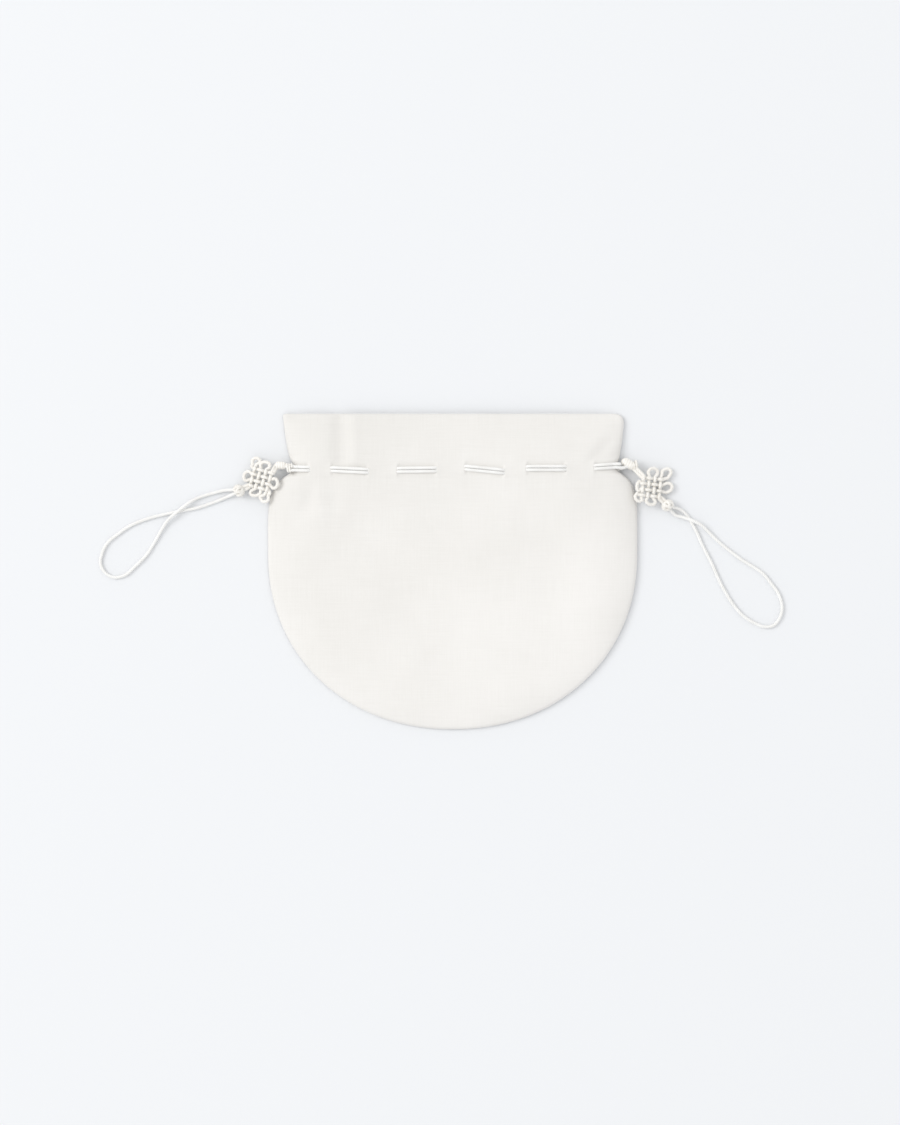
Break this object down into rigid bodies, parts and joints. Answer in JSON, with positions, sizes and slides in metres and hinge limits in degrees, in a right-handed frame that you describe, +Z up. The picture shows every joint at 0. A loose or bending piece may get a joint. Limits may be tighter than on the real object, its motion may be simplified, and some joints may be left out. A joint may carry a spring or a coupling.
{
  "type": "korean jumeoni",
  "caption": "Round-bottomed linen drawstring pouch lying flat, with a stitched neck cord, flower knots and end loops.",
  "frame": {"origin": "middle of the pouch's outline, at the level of the flat face it rests on", "axes": "+X across the pouch towards the right-hand cord, +Y along the pouch from the round bottom to the mouth, +Z up out of the front of the pouch"},
  "size_m": [0.2578, 0.1188, 0.0116],
  "materials": {
    "linen": "matte plain-woven bleached linen",
    "cord": "soft ivory cord with a faint sheen"
  },
  "bodies": {
    "root": {"front_panel": "linen", "back_panel": "linen", "left_drawstring": "cord", "left_inner_knot": "cord", "left_flower_knot": "cord", "left_outer_knot": "cord", "left_loop": "cord", "right_drawstring": "cord", "right_inner_knot": "cord", "right_flower_knot": "cord", "right_outer_knot": "cord", "right_loop": "cord"}
  },
  "joints": []
}
